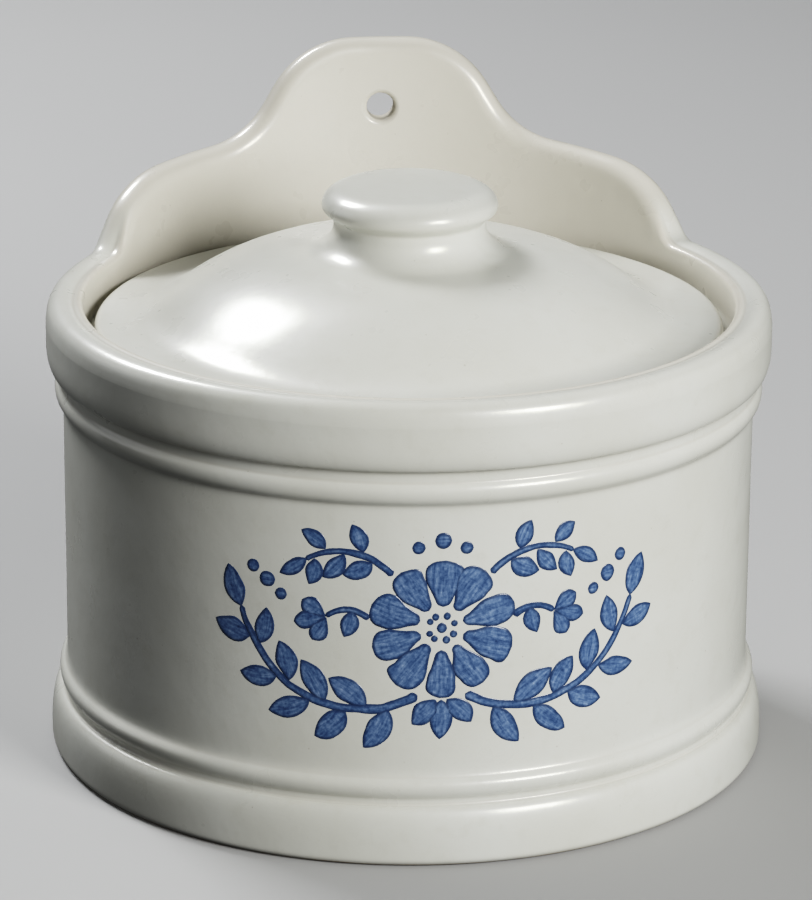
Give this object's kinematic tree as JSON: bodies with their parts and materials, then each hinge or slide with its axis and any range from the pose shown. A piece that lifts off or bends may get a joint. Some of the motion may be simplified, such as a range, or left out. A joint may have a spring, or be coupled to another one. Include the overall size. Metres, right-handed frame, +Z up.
{
  "type": "lidded salt crock",
  "caption": "Round stoneware salt crock with beaded foot and rim, a hanging plate with a nail hole at the back, and a domed lid with a bun knob resting on a seat inside the rim.",
  "frame": {"origin": "centre of the foot, on the surface the crock stands on", "axes": "+Z up along the crock's axis, +Y towards the hanging plate at the back, -Y towards the decorated front"},
  "size_m": [0.15, 0.15, 0.1332],
  "materials": {
    "crock_glaze": "pale satin stoneware glaze with a blue painted spray on the front",
    "lid_glaze": "pale satin stoneware glaze"
  },
  "bodies": {
    "crock": {"crock": "crock_glaze"},
    "lid": {"lid": "lid_glaze"}
  },
  "joints": [
    {"name": "lid_lift", "type": "slide", "parent": "crock", "child": "lid", "axis": [0, 0, 1], "range_m": [0, 0.06]}
  ]
}
